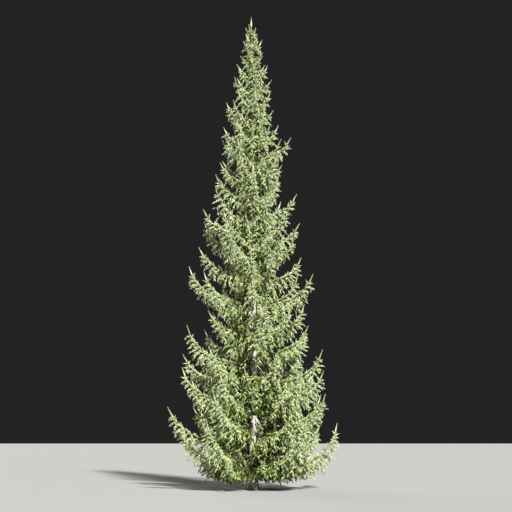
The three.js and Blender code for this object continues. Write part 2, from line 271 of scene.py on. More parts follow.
boughs = []
for whorl in range(WHORLS - LEADER_WHORLS):
    low_turns = min(whorl, BOUGHED_WHORLS - 1)
    turned = FIRST_AZIMUTH + SPIRAL_LOW * low_turns + SPIRAL_HIGH * (whorl - low_turns)
    main = MAIN_LOW if whorl < BOUGHED_WHORLS else MAIN_HIGH
    minor_turns = MINOR_TURNS_LOW if main == MAIN_LOW else MINOR_TURNS_HIGH
    for i in range(main):
        number = whorl * WHORL_SLOTS + i
        boughs.append(grow_bough(number, whorl, turned + 360 * i / main, OWN_VIGOUR.get(number, 1.0)))
    for i, turn in enumerate(minor_turns):
        number = whorl * WHORL_SLOTS + main + i
        boughs.append(grow_bough(number, whorl, turned + turn, OWN_VIGOUR.get(number, MINOR_VIGOUR)))
    short = round(mix(*SHORT_BOUGHS, whorl / WHORLS))
    for i in range(short):
        number = SHORT_NUMBERS + whorl * SHORT_SLOTS + i
        vigour = SHORT_VIGOUR * (SHORT_WEAKEST + SHORT_RANGE * draw(number, VIGOUR_DRAW))
        turn = GOLDEN_ANGLE * (whorl * SHORT_BOUGHS[0] + i)
        lift = mix(*SHORT_LIFTS, i / short)
        boughs.append(grow_bough(number, whorl, turn, vigour, lift, curtain=SHORT_CURTAIN))
print("boughs in whorls and between:", len(boughs))

# %% [markdown]
# ## The skirt, single boughs and the top
#
# A skirt of sagging boughs hangs round the trunk's foot. Single boughs, listed one by one, close the crown
# where the rule leaves it thin, most of them in front of the trunk. The last two whorls belong to the leader:
# their short boughs reach up, and the second whorl is turned by half a step against the first.

# %% Boughs outside the rule
SKIRT_NUMBERS = 3000
SKIRT_BOUGHS = 14
SKIRT_VIGOUR = 0.72
SKIRT_WEAKEST = 0.85
SKIRT_RANGE = 0.3
SKIRT_SAG = 11
SKIRT_DROP = -0.25
OWN_NUMBERS = 4000
OWN_BOUGHS = (
    # whorl, lift, azimuth, vigour, sag
    (0, 0.05, -90, 0.5, 4),
    (1, 0.8, -90, 0.5, 4),
    (2, 0.35, -90, 0.5, 4),
    (2, 0.85, -90, 0.45, 4),
    (8, 0.3, -90, 0.45, 2),
    (9, 0.4, -92, 0.45, 2),
    (10, 0.5, -88, 0.45, 2),
    (0, 0.3, -34, 0.86, 6),
    (0, 0.5, 2, 0.8, 8),
    (0, 0.1, 36, 0.86, 6),
    (0, 0.5, 212, 0.74, 2),
)
TOP_NUMBERS = 2000
TOP_BOUGHS = 5
TOP_SAG = -6

for i in range(SKIRT_BOUGHS):
    number = SKIRT_NUMBERS + i
    usual = SKIRT_VIGOUR * (SKIRT_WEAKEST + SKIRT_RANGE * draw(number, VIGOUR_DRAW))
    vigour = OWN_VIGOUR.get(number, usual)
    boughs.append(grow_bough(number, 0, 360 * i / SKIRT_BOUGHS, vigour, SKIRT_DROP, SKIRT_SAG))
for i, (whorl, lift, azimuth, vigour, sag) in enumerate(OWN_BOUGHS):
    boughs.append(grow_bough(OWN_NUMBERS + i, whorl, azimuth, vigour, lift, sag))
for whorl in range(WHORLS - LEADER_WHORLS, WHORLS):
    half_step = 0.5 * (whorl % 2)
    for i in range(TOP_BOUGHS):
        number = TOP_NUMBERS + whorl * WHORL_SLOTS + i
        boughs.append(grow_bough(number, whorl, 360 * (i + half_step) / TOP_BOUGHS, sag=TOP_SAG))
print("boughs:", len(boughs), "longest:", round(max(b.length for b in boughs), 2))

# %% [markdown]
# ## Bark that flakes
#
# Spruce bark breaks into thin round scales, grey cream where the sun bleaches them and brown in the cracks.
# The trunk and the boughs share that look at two sizes, so it is one node group with named sockets. A Voronoi
# texture gives the scales and their edges, and a noise bends it first, because real cracks are never
# straight. A second noise lays patches of lichen over the scales.

# %% A node group for scaly bark
BARK_SOCKETS = (
    ("Place", "Vector", "INPUT"),
    ("Scales per metre", "Float", "INPUT"),
    ("Scale colour", "Color", "INPUT"),
    ("Crack colour", "Color", "INPUT"),
    ("Lichen colour", "Color", "INPUT"),
    ("Colour", "Color", "OUTPUT"),
    ("Roughness", "Float", "OUTPUT"),
    ("Height", "Float", "OUTPUT"),
)


def add_node(tree, kind, output, values, links, **settings):
    """Adds a node with its settings, values and links, and hands back one of its output sockets."""
    node = tree.nodes.new("ShaderNode" + kind)
    for name, value in settings.items():
        setattr(node, name, value)
    for name, value in values.items():
        node.inputs[name].default_value = value
    for name, source in links.items():
        tree.links.new(source, node.inputs[name])
    return node.outputs[output]


def make_scaly_bark():
    tree = bpy.data.node_groups.new("scaly_bark", "ShaderNodeTree")
    for name, kind, way in BARK_SOCKETS:
        tree.interface.new_socket(name=name, in_out=way, socket_type="NodeSocket" + kind)
    given = tree.nodes.new("NodeGroupInput").outputs
    out = tree.nodes.new("NodeGroupOutput").inputs
    place = {"Vector": given["Place"]}

    wander = add_node(tree, "TexNoise", "Color", {"Scale": 9.0, "Detail": 3.0}, place)
    ends = {"A": given["Place"], "B": wander}
    bent = add_node(tree, "Mix", "Result", {"Factor": 0.06}, ends, data_type="VECTOR")
    place_bent = {"Vector": bent, "Scale": given["Scales per metre"]}
    edge = add_node(tree, "TexVoronoi", "Distance", {}, place_bent, feature="DISTANCE_TO_EDGE")
    scale = add_node(tree, "TexVoronoi", "Color", {}, place_bent)
    crack = add_node(tree, "MapRange", "Result", {"From Min": 0.02, "From Max": 0.16}, {"Value": edge})

    red = add_node(tree, "SeparateColor", "Red", {}, {"Color": scale})
    tone = add_node(tree, "MapRange", "Result", {"To Min": 0.72, "To Max": 1.2}, {"Value": red})
    toned = {"Value": tone, "Color": given["Scale colour"]}
    shade = add_node(tree, "HueSaturation", "Color", {}, toned)

    patch = add_node(tree, "TexNoise", "Fac", {"Scale": 3.5, "Detail": 6.0, "Roughness": 0.65}, place)
    limits = {"From Min": 0.52, "From Max": 0.72, "To Max": 0.55}
    lichen = add_node(tree, "MapRange", "Result", limits, {"Value": patch})
    ends = {"Factor": lichen, "A": shade, "B": given["Lichen colour"]}
    grown = add_node(tree, "Mix", "Result", {}, ends, data_type="RGBA")
    ends = {"Factor": crack, "A": given["Crack colour"], "B": grown}
    cracked = add_node(tree, "Mix", "Result", {}, ends, data_type="RGBA")

    dull = add_node(tree, "MapRange", "Result", {"To Min": 0.95, "To Max": 0.74}, {"Value": crack})
    grain = add_node(tree, "TexNoise", "Fac", {"Scale": 160.0, "Detail": 4.0}, place)
    rise = add_node(tree, "Math", "Value", {1: 0.25}, {0: grain, 2: crack}, operation="MULTIPLY_ADD")
    for name, source in (("Colour", cracked), ("Roughness", dull), ("Height", rise)):
        tree.links.new(source, out[name])
    return tree


scaly_bark = make_scaly_bark()
print("bark group nodes:", len(scaly_bark.nodes))

# %% [markdown]
# ## Two barks from one group
#
# The trunk's bark is old and bleached, with scales about three centimetres wide. The boughs' bark is younger,
# browner and finer, and painted darker still, as painted shade, because the limbs lie in the crown's shade.
# Object coordinates keep the pattern still, whatever the camera does.

# %% Trunk bark and bough bark
BARK_SPECULAR = 0.25
BUMP_STRENGTH = 0.7


def make_bark(name, depth, looks):
    """A bark material. `looks` holds the group's values, and `depth` is how far the bump rises."""
    bark = bpy.data.materials.new(name)
    bark.use_nodes = True
    tree = bark.node_tree
    shader = tree.nodes["Principled BSDF"].inputs
    shader["Specular IOR Level"].default_value = BARK_SPECULAR
    place = add_node(tree, "TexCoord", "Object", {}, {})
    colour = add_node(tree, "Group", "Colour", looks, {"Place": place}, node_tree=scaly_bark)
    group = colour.node.outputs
    relief = {"Strength": BUMP_STRENGTH, "Distance": depth}
    bump = add_node(tree, "Bump", "Normal", relief, {"Height": group["Height"]})
    tree.links.new(colour, shader["Base Color"])
    tree.links.new(group["Roughness"], shader["Roughness"])
    tree.links.new(bump, shader["Normal"])
    return bark


trunk_looks = {
    "Scales per metre": 32,
    "Scale colour": (0.5, 0.49, 0.42, 1),
    "Crack colour": (0.27, 0.24, 0.19, 1),
    "Lichen colour": (0.44, 0.47, 0.37, 1),
}
# The bough bark is brown and painted dark as well, as painted shade for limbs inside the crown.
bough_looks_painted_shade = {
    "Scales per metre": 60,
    "Scale colour": (0.16, 0.14, 0.1, 1),
    "Crack colour": (0.06, 0.05, 0.035, 1),
    "Lichen colour": (0.18, 0.19, 0.12, 1),
}
trunk_bark = make_bark("trunk_bark", depth=0.004, looks=trunk_looks)
bough_bark = make_bark("bough_bark", depth=0.002, looks=bough_looks_painted_shade)
print("barks:", trunk_bark.name, bough_bark.name)

# %% [markdown]
# ## The trunk
#
# A trunk could be a plain cone with a bump map, but at its foot the root lobes and the lifted scales show in
# the outline. So a flat grid is rolled up like a sheet of paper: its columns go round the stem and its rows
# climb it. Each vertex is then pushed out by the lobes and by the same kind of Voronoi scales that the bark
# shows. The rolled edge is merged, and the two ends are filled, so the trunk is closed.

# %% Roll the trunk from a grid
TRUNK_COLUMNS = 72
TRUNK_ROWS = 460
ROOT_LOBES = 5
LOBE_SHARE = 0.16
SCALE_HEIGHT = 0.0045
SCALES_PER_METRE = 24
SCALE_STRETCH = 0.7
SCALE_WANDER = 0.35
WANDER_SIZE = 0.6
SCALE_EDGE = 2.2
WELD = 1e-5


def roll_sheet(bm, columns, rows, place):
    """A grid whose columns go round and rows go along. place(turn, share) gives each vertex its spot."""
    sheet = bmesh.ops.create_grid(bm, x_segments=columns, y_segments=rows, size=0.5)
    for vertex in sheet["verts"]:
        vertex.co = place((vertex.co.x + 0.5) % 1.0, vertex.co.y + 0.5)
    bmesh.ops.remove_doubles(bm, verts=sheet["verts"], dist=WELD)


def scale_relief(point, strength):
    """How far a bark scale lifts off at a point: high in its middle, low in the cracks."""
    spot = Vector((point.x, point.y, point.z * SCALE_STRETCH)) * SCALES_PER_METRE
    spot += SCALE_WANDER * noise.noise_vector(spot * WANDER_SIZE)
    near, far = noise.voronoi(spot)[0][:2]
    return strength * min(1.0, (far - near) * SCALE_EDGE)


def place_on_trunk(turn, share):
    height = TRUNK_TOP * share
    angle = math.tau * turn
    lobe = LOBE_SHARE * math.exp(-height / FLARE_HEIGHT) * math.cos(ROOT_LOBES * angle)
    radius = float(trunk_radius(height))
    centre = Vector(trunk_axis(height))
    around = Vector((math.cos(angle), math.sin(angle), 0))
    surface = centre + around * radius * (1 + lobe)
    lift = scale_relief(surface, SCALE_HEIGHT * radius / TRUNK_RADIUS)
    return surface + around * lift


def close_ends(bm, most_sides):
    rims = [edge for edge in bm.edges if edge.is_boundary]
    bmesh.ops.holes_fill(bm, edges=rims, sides=most_sides)
    bmesh.ops.recalc_face_normals(bm, faces=bm.faces)


def link_piece(name, mesh, material):
    mesh.materials.append(material)
    piece = bpy.data.objects.new(name, mesh)
    bpy.context.scene.collection.objects.link(piece)
    return piece


def finish_piece(bm, name, material, smooth=True):
    mesh = bpy.data.meshes.new(name)
    for face in bm.faces:
        face.smooth = smooth
    bm.to_mesh(mesh)
    bm.free()
    return link_piece(name, mesh, material)


bm = bmesh.new()
roll_sheet(bm, TRUNK_COLUMNS, TRUNK_ROWS, place_on_trunk)
close_ends(bm, TRUNK_COLUMNS + 1)
trunk = finish_piece(bm, "trunk_with_bark", trunk_bark)
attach(trunk, "root")
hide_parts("trunk")
print("trunk faces:", len(trunk.data.polygons))

# %% [markdown]
# ## The boughs
#
# A bough is a long thin limb with a swollen collar where the trunk has grown round its root. It is rolled
# from a grid in the same way, along its own line. The ring at each point needs two directions square to the
# line: one level, and one that completes the set. A little noise stops the limbs from looking turned on a
# lathe.

# %% Roll the boughs
BOUGH_COLUMNS = 7
BOUGH_ROWS = 26
COLLAR_SWELL = 0.6
COLLAR_LENGTH = 0.07
KNOBBLE = 0.16
KNOBBLES_PER_METRE = 9
KNOBBLE_AROUND = 0.8
TIP_SHARE = 0.4
NUDGE = 1e-6


def roll_limb(bm, bough):
    tip = TWIG_TIP_RADIUS * TIP_SHARE

    def place(turn, share):
        along = run_at(bough.line, np.array(share))
        across = unit(np.array([-along[1], along[0], NUDGE]))
        over = np.cross(along, across)
        collar = 1 + COLLAR_SWELL * math.exp(-share * bough.length / COLLAR_LENGTH)
        centre = point_at(bough.line, np.array(share))
        around = math.cos(math.tau * turn) * across + math.sin(math.tau * turn) * over
        bump = 1 + KNOBBLE * noise.noise(Vector(centre * KNOBBLES_PER_METRE + around * KNOBBLE_AROUND))
        return Vector(centre + around * mix(bough.radius, tip, share) * collar * bump)

    roll_sheet(bm, BOUGH_COLUMNS, BOUGH_ROWS, place)


bm = bmesh.new()
for bough in boughs:
    roll_limb(bm, bough)
close_ends(bm, BOUGH_COLUMNS + 1)
limbs = finish_piece(bm, "boughs_with_shaded_bark", bough_bark)
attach(limbs, "root")
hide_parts(*[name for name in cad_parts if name.startswith("bough")])
print("bough faces:", len(limbs.data.polygons))

# %% [markdown]
# ## Side twigs
#
# Side twigs leave a bough to both sides, swing forward and bend down, and some hang straight below it, so old
# boughs carry curtains. The solids have a few pairs of them on a bough, each with a broad blade. A real bough
# has one every few centimetres, so the same rule runs here at a finer spacing, and closer together towards
# the bough's end.
# Near the ground a twig is cut to the room that it has. The room grows outwards and differs from bough to
# bough, so the lowest boughs end in lobes above the ground and not in a trimmed hem.

# %% The line of a side twig
TWIG_STEPS = 6
TWIG_SHARE = (0.47, 0.55)
TWIG_POWER = 1.1
TWIG_LENGTHS = (0.62, 1.05)
TWIG_ANGLE_INNER = 64
TWIG_ANGLE_OUTER = 38
TWIG_TURN_SPREAD = 12
START_PITCH = -10
PITCH_SHARE = 0.55
HANG_INNER = 90
HANG_OUTER = 38
HANG_POWER = 0.7
HANG_SPREAD = (0.8, 1.1)
STEEPEST = -80
HANGING_START = -38
HANGING_SHARE = 0.95
HANGING_TURN_SPREAD = 36
GROUND_ROOM_INNER = 0.2
GROUND_ROOM_OUTER = 0.55
GROUND_ROOM_SPREAD = (0.75, 1.25)

Twig = namedtuple("Twig", "bough share line length")


def share_with_room(bough, root, run):
    """How much of a twig's run keeps above the ground, from 0 to 1."""
    lowest = mix(GROUND_ROOM_INNER, GROUND_ROOM_OUTER, math.hypot(root[0], root[1]) / CROWN_REACH)
    lowest *= mix(*GROUND_ROOM_SPREAD, draw(bough.number, ROOM_DRAW))
    room = (root[2] - lowest) / max(-run[:, 2].min(), NUDGE)
    return min(1.0, max(room, 0.0))


def grow_twig(bough, share, side):
    """A side twig to the left (1) or right (-1) of its bough, or one that hangs straight below it (0)."""
    along = run_at(bough.line, np.array(share))
    inner = 1 - share
    longest = mix(*TWIG_SHARE, bough.relative) * bough.length * inner**TWIG_POWER
    length = longest * bough.curtain * rng.uniform(*TWIG_LENGTHS)
    turn = mix(TWIG_ANGLE_OUTER, TWIG_ANGLE_INNER, inner) + TWIG_TURN_SPREAD * rng.uniform(-1, 1)
    heading = math.atan2(along[1], along[0]) + side * math.radians(turn)
    start = math.radians(START_PITCH) + PITCH_SHARE * math.asin(along[2])
    if side == 0:
        length *= HANGING_SHARE
        heading += math.radians(HANGING_TURN_SPREAD) * rng.uniform(-1, 1)
        start += math.radians(HANGING_START)
    hang = math.radians(mix(HANG_OUTER, HANG_INNER, inner)) * rng.uniform(*HANG_SPREAD)
    end = max(start - hang, math.radians(STEEPEST))
    shares = (np.arange(TWIG_STEPS) + 0.5) / TWIG_STEPS
    pitches = mix(start, end, shares**HANG_POWER)
    steps = aim(np.full(TWIG_STEPS, heading), pitches) * length / TWIG_STEPS
    root = point_at(bough.line, np.array(share))
    run = np.vstack([np.zeros(3), np.cumsum(steps, axis=0)])
    cut = share_with_room(bough, root, run)
    return Twig(bough, share, root + run * cut, length * cut)


print("steps along a twig:", TWIG_STEPS)

# %% Twigs on every bough
FIRST_TWIG = (0.12, 0.08)
TWIG_SPACING = (0.053, 0.072)
TWIG_PLACE = (0.2, 0.8)
TWIG_CROWDING = 0.7
SIDES = (-1, 1, 0)
SHORTEST_TWIG = 0.06
CANDLE_LENGTHS = (0.24, 0.34)
CANDLE_BOUGH = 2.6


def candle_length(bough):
    return mix(*CANDLE_LENGTHS, min(1.0, bough.length / CANDLE_BOUGH))


twigs = []
for bough in boughs:
    first = mix(*FIRST_TWIG, bough.relative)
    last = 1 - candle_length(bough) / bough.length
    spacing = mix(*TWIG_SPACING, bough.relative)
    count = max(2, round((last - first) * bough.length / spacing))
    for i in range(count):
        share = mix(first, last, ((i + rng.uniform(*TWIG_PLACE)) / count) ** TWIG_CROWDING)
        twigs.append(grow_twig(bough, share, SIDES[i % len(SIDES)]))
twigs = [twig for twig in twigs if twig.length > SHORTEST_TWIG]
print("side twigs:", len(twigs), "metres:", round(sum(twig.length for twig in twigs)))

# %% [markdown]
# ## Shoots on the twigs
#
# A shoot is one year's growth, clad in needles all round, and most of them here are ten to fifteen
# centimetres long. Shoots stand on both sides of a twig and point forward and a little down, and more run
# along the twig itself, end to end. Making each one as an object would take hours, so only a start, a
# direction, a length, a girth and a freshness are kept for each. The needles follow later, all at once.

# %% Shoots on the side twigs
SHOOT_SPACING = 0.07
SHOOT_PLACE = (0.1, 0.9)
SHOOT_LONG = 0.14
SHOOT_SHORT = 0.095
SHOOT_LENGTHS = (0.75, 1.2)
SHOOT_CAP = 0.06
SHOOT_CAP_SHARE = 0.3
SHOOT_ANGLE = 46
SHOOT_ANGLE_SPREAD = 12
SHOOT_TILT = 35
SHOOT_DROOP = 0.7
GROWTH = (1.1, 0.98)
GIRTH = (1.3, 1.2)
TWIG_BARE = 0.14
INLINE_SHOOT = 0.17
INLINE_OVERLAP = 1.08
LEAST_FRESH = 0.15
FRESH_ON_BOUGH = 0.5
FRESH_ON_TWIG = 0.35
INLINE_LEAST_FRESH = 0.2
INLINE_FRESH = 0.55

shoots = {"start": [], "aim": [], "length": [], "fresh": [], "whorl": [], "girth": []}


def add_shoots(starts, aims, lengths, fresh, whorl, girth=1.0):
    shoots["start"].append(starts)
    shoots["aim"].append(unit(aims))
    for key, values in (("length", lengths), ("fresh", fresh), ("whorl", whorl), ("girth", girth)):
        shoots[key].append(np.broadcast_to(values, len(starts)))


def vigour_at(bough, low, high):
    """A value that falls from the lowest boughs to those halfway up, and stays there."""
    return mix(low, high, min(1.0, 2 * bough.relative))


def fan_out(along, spread, tilt, nudge=0.0):
    """Directions that leave a line to its two sides in turn. The nudge helps where a line is upright."""
    side = np.where(np.arange(len(along)) % 2, 1.0, -1.0)[:, None]
    across = unit(np.cross(along, (0, 0, 1)) + nudge) * side
    over = np.cross(across, along) * side
    outward = across * np.cos(tilt) + over * np.sin(tilt)
    return along * np.cos(spread) + outward * np.sin(spread)


def shoot_twig(twig):
    """Shoots to both sides of a twig, in turn."""
    bough = twig.bough
    growth = vigour_at(bough, *GROWTH)
    count = max(1, round((1 - TWIG_BARE) * twig.length / (SHOOT_SPACING * growth)))
    shares = TWIG_BARE + (1 - TWIG_BARE) * (np.arange(count) + rng.uniform(*SHOOT_PLACE, count)) / count
    spread = rng.uniform(-SHOOT_ANGLE_SPREAD, SHOOT_ANGLE_SPREAD, count)
    spread = np.radians(SHOOT_ANGLE + spread)[:, None]
    tilt = np.radians(rng.uniform(-SHOOT_TILT, SHOOT_TILT, count))[:, None]
    aims = fan_out(run_at(twig.line, shares), spread, tilt, NUDGE)
    aims[:, 2] -= SHOOT_DROOP * (1 - twig.share)
    lengths = mix(SHOOT_LONG, SHOOT_SHORT, shares) * growth * rng.uniform(*SHOOT_LENGTHS, count)
    lengths = np.minimum(lengths, SHOOT_CAP_SHARE * twig.length + SHOOT_CAP)
    fresh = LEAST_FRESH + FRESH_ON_BOUGH * twig.share + FRESH_ON_TWIG * shares
    girth = vigour_at(bough, *GIRTH)
    add_shoots(point_at(twig.line, shares), aims, lengths, fresh, bough.whorl, girth)


def shoot_along(line, length, first, fresh, whorl, girth=1.0):
    """Shoots that run on along a line, end to end."""
    count = max(1, round((1 - first) * length / INLINE_SHOOT))
    edges = np.linspace(first, 1, count + 1)
    starts = point_at(line, edges[:-1])
    runs = point_at(line, edges[1:]) - starts
    add_shoots(starts, runs, np.linalg.norm(runs, axis=1) * INLINE_OVERLAP, fresh, whorl, girth)


for twig in twigs:
    shoot_twig(twig)
    fresh = INLINE_LEAST_FRESH + INLINE_FRESH * twig.share
    shoot_along(twig.line, twig.length, TWIG_BARE, fresh, twig.bough.whorl)
print("shoots on twigs:", sum(len(part) for part in shoots["start"]))

# %% [markdown]
# ## Shoots on the boughs
#
# Short shoots stand close together along a bough, on all sides, and hide the limb. One upright candle closes
# every bough, up to a third of a metre long, with a small cross of shoots at its foot. The candles give the
# crown its spiky outline.

# %% Limb shoots and candles
NEEDLED_BOUGH = 0.88
LINE_POINTS = 9
LIMB_GIRTH = 1.35
LIMB_SPACING = (0.036, 0.058)
LIMB_TILTS = (-45, 80)
LIMB_ANGLES = (28, 58)
LIMB_LENGTHS = (0.9, 1.6)
LIMB_LEAST_FRESH = 0.3
LIMB_FRESH = 0.5
LIMB_INLINE_FRESH = 0.6
CANDLE_GIRTH = 1.3
CROSS_FRESH = 0.95
CROSS_SHOOTS = 4
CROSS_ANGLE = 58
CROSS_LENGTH = 0.4
CROSS_LENGTHS = (0.8, 1.15)
CROSS_SHIFTS = (-0.02, 0.03)


def shoot_bough(bough):
    """Short shoots along the bough itself, on all sides, which hide the limb."""
    foot = 1 - candle_length(bough) / bough.length
    span = max(0.0, foot - (1 - NEEDLED_BOUGH))
    spacing = mix(*LIMB_SPACING, bough.relative)
    count = max(2, round(span * bough.length / spacing))
    shares = foot - span * (np.arange(count) + rng.uniform(*SHOOT_PLACE, count)) / count
    tilt = np.radians(rng.uniform(*LIMB_TILTS, count))[:, None]
    spread = np.radians(rng.uniform(*LIMB_ANGLES, count))[:, None]
    aims = fan_out(run_at(bough.line, shares), spread, tilt)
    lengths = SHOOT_SHORT * rng.uniform(*LIMB_LENGTHS, count)
    fresh = LIMB_LEAST_FRESH + LIMB_FRESH * shares
    girth = vigour_at(bough, *GIRTH)
    add_shoots(point_at(bough.line, shares), aims, lengths, fresh, bough.whorl, girth)


def shoot_candle(bough):
    """The upright end of a bough, with a cross of shoots at its foot."""
    candle = candle_length(bough)
    foot = 1 - candle / bough.length
    start = point_at(bough.line, np.array([foot]))
    run = bough.line[-1] - start
    add_shoots(start, run, candle, 1.0, bough.whorl, CANDLE_GIRTH)
    up = unit(run)[0]
    across = unit(np.cross(up, (0, 0, 1)))
    over = np.cross(across, up)
    turns = math.tau * (np.arange(CROSS_SHOOTS) + rng.uniform()) / CROSS_SHOOTS
    spread = math.radians(CROSS_ANGLE)
    around = np.cos(turns)[:, None] * across + np.sin(turns)[:, None] * over
    lengths = CROSS_LENGTH * candle * rng.uniform(*CROSS_LENGTHS, CROSS_SHOOTS)
    starts = np.repeat(start, CROSS_SHOOTS, axis=0) + up * rng.uniform(*CROSS_SHIFTS, (CROSS_SHOOTS, 1))
    add_shoots(starts, up * math.cos(spread) + around * math.sin(spread), lengths, CROSS_FRESH, bough.whorl)


for bough in boughs:
    needled = 1 - NEEDLED_BOUGH
    foot = 1 - candle_length(bough) / bough.length
    outer = point_at(bough.line, np.linspace(needled, foot, LINE_POINTS))
    shoot_along(outer, (foot - needled) * bough.length, 0, LIMB_INLINE_FRESH, bough.whorl, LIMB_GIRTH)
    shoot_bough(bough)
    shoot_candle(bough)
print("shoots on twigs and boughs:", sum(len(part) for part in shoots["start"]))

# %% [markdown]
# ## Shoots on the trunk and the leader
#
# Weak shoots also stand on the trunk itself, in a spiral, and hang down over its bark. The leader is the
# tree's own top: shoots run up it end to end, and the last and stoutest one makes the tip.

# %% Stem shoots and the leader
STEM_SHOOTS_FROM = 1.0
STEM_SHOOT_SPACING = 0.022
STEM_SHOOT_LENGTH = 0.2
STEM_PITCHES = (-60, 10)
STEM_LENGTHS = (0.7, 1.2)
STEM_FRESH = 0.3
LEADER_DEPTH = 0.5
LEADER_FRESH = 0.8
LEADER_GIRTH = 1.6
TOP_SHOOT_FOOT = 0.36
TOP_SHOOT_LENGTH = 0.35

stem_heights = np.arange(STEM_SHOOTS_FROM, TRUNK_TOP, STEM_SHOOT_SPACING)
stem_turns = np.radians(GOLDEN_ANGLE) * np.arange(len(stem_heights))
stem_aims = aim(stem_turns, np.radians(rng.uniform(*STEM_PITCHES, len(stem_heights))))
stem_lengths = STEM_SHOOT_LENGTH * rng.uniform(*STEM_LENGTHS, len(stem_heights))
stem_whorls = np.searchsorted([whorl_height(whorl) for whorl in range(1, WHORLS)], stem_heights)
add_shoots(trunk_axis(stem_heights), stem_aims, stem_lengths, STEM_FRESH, stem_whorls)
leader_heights = np.linspace(TRUNK_TOP - LEADER_DEPTH, TREE_HEIGHT - TOP_SHOOT_FOOT, LINE_POINTS)
shoot_along(trunk_axis(leader_heights), leader_heights[-1] - leader_heights[0], 0, LEADER_FRESH, WHORLS - 1)
top = trunk_axis(np.array([TREE_HEIGHT - TOP_SHOOT_FOOT]))
add_shoots(top, np.array([[0.0, 0.0, 1.0]]), TOP_SHOOT_LENGTH, 1.0, WHORLS - 1, LEADER_GIRTH)
shoots = {key: np.concatenate(parts) for key, parts in shoots.items()}
print("shoots:", len(shoots["start"]), "mean length:", round(float(shoots["length"].mean()), 3))

# %% [markdown]
# ## Gaps
#
# At a few heights the crown opens in front of the trunk, and pale bark or a bare twig shows there. Such a gap
# needs two clear ways, one for the eye and one for the light, or the bark would stand in the dark. So each
# shoot is cast onto the plane of the trunk from the camera's place, and again from the lamp's place, and one
# that falls inside an opening is left off. A shoot that would reach the ground is left off as well.

# %% Open the crown in front of the trunk
EYE_PLACE = (0, -40.0, 1.7)
KEY_HEADING = -72
KEY_PITCH = 33
KEY_DISTANCE = 500
KEY_PLACE = KEY_DISTANCE * aim(np.radians(KEY_HEADING), np.radians(KEY_PITCH))
SHOOT_GROUND_ROOM = 0.12
OPENINGS = (
    # middle height, half height, left and right edge of the view, left and right edge of the light
    (5.08, 0.17, -0.07, 0.1, -0.06, 0.06),
    (3.76, 0.08, -0.06, 0.05, -0.06, 0.06),
    (3.3, 0.14, -0.05, 0.3, 0, 0),
    (1.86, 0.15, -0.05, 0.24, -0.045, 0.045),
    (1.68, 0.3, 0, 0, 0.01, 0.17),
)


def cast_on_trunk(points, eye):
    """Where points fall on the trunk's plane, seen from a place: sideways from its line, and height."""
    share = -points[:, 1] / (eye[1] - points[:, 1])
    spots = points + (np.array(eye) - points) * share[:, None]
    return spots[:, 0] - trunk_axis(spots[:, 2])[:, 0], spots[:, 2]


def in_front_of_trunk(points):
    """True for points that would close one of the openings to the eye or to the light."""
    closing = np.zeros(len(points), bool)
    aside, height = cast_on_trunk(points, EYE_PLACE)
    shade, shade_height = cast_on_trunk(points, KEY_PLACE)
    for middle, half, left, right, light_left, light_right in OPENINGS:
        closing |= (np.abs(height - middle) < half) & (aside > left) & (aside < right)
        closing |= (np.abs(shade_height - middle) < half) & (shade > light_left) & (shade < light_right)
    return closing & (points[:, 1] < 0)


ends = shoots["start"] + shoots["aim"] * shoots["length"][:, None]
middles = (shoots["start"] + ends) / 2
keep = ~(in_front_of_trunk(shoots["start"]) | in_front_of_trunk(middles) | in_front_of_trunk(ends))
keep &= ends[:, 2] > SHOOT_GROUND_ROOM
shoots = {key: part[keep] for key, part in shoots.items()}
twigs = [twig for twig in twigs if not in_front_of_trunk(twig.line).any()]
print("shoots kept:", len(shoots["start"]), "twigs kept:", len(twigs))

# %% [markdown]
# ## Joined meshes from arrays
#
# Thousands of twigs as objects would choke the scene, and instances are lost in the export. So the crown is
# split into five zones by whorl, and all the twigs of one zone become a single mesh. Its vertices and
# triangles come from numpy arrays, in a moment where a loop over operators would take minutes.

# %% Helpers for joined meshes
ZONES = (
    ("lowest", range(0, 2)),
    ("low", range(2, 5)),
    ("lower_middle", range(5, 9)),
    ("middle", range(9, 13)),
    ("top", range(13, WHORLS)),
)
LABEL_LENGTH = len("foliage_01")
zone_masses = {}
for zone, whorls in ZONES:
    labels = {f"foliage_{whorl + 1:02d}" for whorl in whorls}
    zone_masses[zone] = [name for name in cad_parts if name[:LABEL_LENGTH] in labels]
zone_masses["top"].append("leader")


def mesh_piece(name, points, triangles, material, zone):
    mesh = bpy.data.meshes.new(name)
    mesh.vertices.add(len(points))
    mesh.vertices.foreach_set("co", points.astype(np.float32).ravel())
    mesh.loops.add(triangles.size)
    mesh.loops.foreach_set("vertex_index", triangles.astype(np.int32).ravel())
    mesh.polygons.add(len(triangles))
    mesh.polygons.foreach_set("loop_start", np.arange(0, triangles.size, 3, dtype=np.int32))
    mesh.update(calc_edges=True)
    piece = link_piece(name, mesh, material)
    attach(piece, "root")
    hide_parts(*zone_masses[zone])
    return piece


def square_frames(aims):
    """Two directions square to each aim, turned by chance about it."""
    helper = unit(rng.normal(size=aims.shape))
    across = unit(np.cross(aims, helper))
    return across, np.cross(aims, across)


def tubes(lines, radii):
    """Three-sided tapering tubes, closed at both ends.

    `lines` has the shape (tubes, rings, 3), and `radii` the shape (tubes, rings).
    """
    count, rings = lines.shape[:2]
    runs = unit(lines[:, -1] - lines[:, 0])
    across, over = square_frames(runs)
    turns = math.tau * np.arange(3) / 3
    around = np.cos(turns)[:, None] * across[:, None] + np.sin(turns)[:, None] * over[:, None]
    points = lines[:, :, None] + radii[:, :, None, None] * around[:, None]
    low = np.arange(rings - 1)[:, None] * 3
    here = low + np.arange(3)
    beside = low + (np.arange(3) + 1) % 3
    first = np.stack([here, beside, here + 3], axis=-1)
    second = np.stack([beside, beside + 3, here + 3], axis=-1)
    last = (rings - 1) * 3
    caps = np.array([(0, 2, 1), (last, last + 1, last + 2)])
    one = np.concatenate([first.reshape(-1, 3), second.reshape(-1, 3), caps])
    triangles = one[None] + (np.arange(count) * rings * 3)[:, None, None]
    return points.reshape(-1, 3), triangles.reshape(-1, 3)


